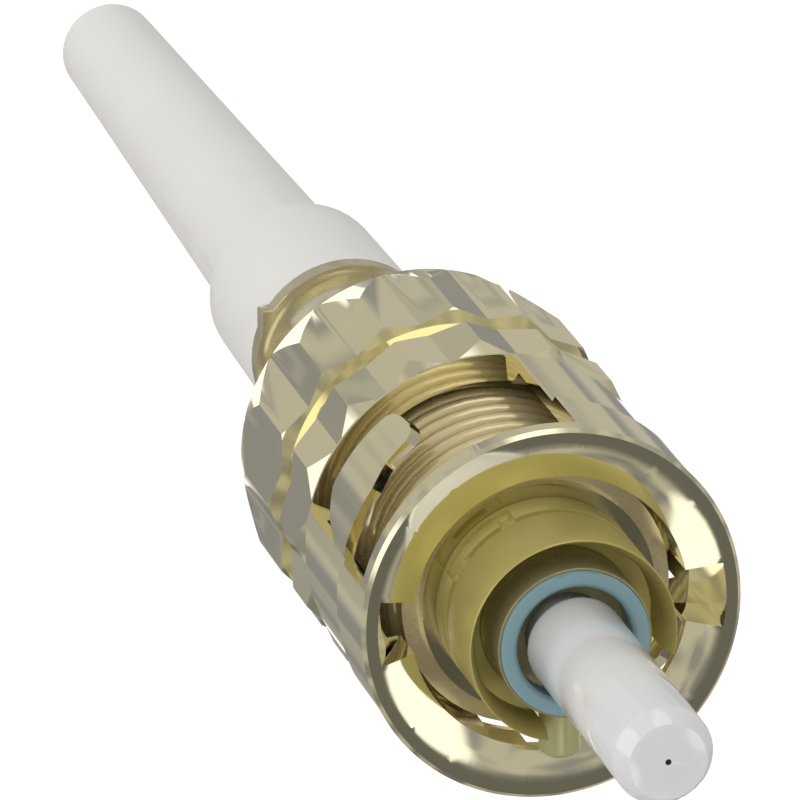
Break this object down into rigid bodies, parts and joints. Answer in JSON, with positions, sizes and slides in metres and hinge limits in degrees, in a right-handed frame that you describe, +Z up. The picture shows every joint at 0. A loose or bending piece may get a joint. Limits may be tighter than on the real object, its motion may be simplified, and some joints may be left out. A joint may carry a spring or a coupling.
{
  "type": "fibre optic connector",
  "caption": "Single-fibre plug with a ceramic ferrule, key pin, sprung bayonet coupling nut with a faceted grip, and a long tapered strain-relief boot.",
  "frame": {"origin": "centre of the flat at the ferrule's tip", "axes": "+X along the connector's axis, out of the tip; +Z up; the key pin points to -Z"},
  "size_m": [0.0559, 0.01, 0.01],
  "materials": {
    "zirconia": "polished",
    "fibre": "polished",
    "nickel_plate": "satin",
    "buffer": "satin",
    "seat_ring": "matte",
    "dark_nickel": "satin",
    "key_pin": "satin",
    "bright_nickel": "polished",
    "spring_steel": "satin",
    "gilt": "polished",
    "gilt_wire": "polished",
    "nut_plate": "polished",
    "tube": "matte",
    "crimp": "satin",
    "boot": "satin"
  },
  "bodies": {
    "plug": {"ferrule": "zirconia", "fibre": "fibre", "ferrule_collar": "nickel_plate", "buffer_coat": "buffer", "seat_ring": "seat_ring", "ferrule_holder": "dark_nickel", "key_pin": "key_pin", "guide_sleeve": "bright_nickel", "front_clip": "spring_steel", "front_washer": "gilt", "coil_spring": "gilt_wire", "stop_clip": "spring_steel", "rear_body": "dark_nickel", "locating_ring": "dark_nickel", "inner_tube": "tube", "crimp_sleeve": "crimp", "boot": "boot"},
    "slider": {"rear_washer": "gilt"},
    "nut": {"coupling_nut": "nut_plate"}
  },
  "joints": [
    {"name": "nut_slide", "type": "slide", "parent": "plug", "child": "slider", "axis": [1, 0, 0], "range_m": [0, 0.0018], "stiffness_N_per_m": 1000, "springref_m": -0.002, "deforming": ["coil_spring"]},
    {"name": "nut_turn", "type": "hinge", "parent": "slider", "child": "nut", "pos_m": [-0.016, 0, 0], "axis": [1, 0, 0], "continuous": true}
  ]
}
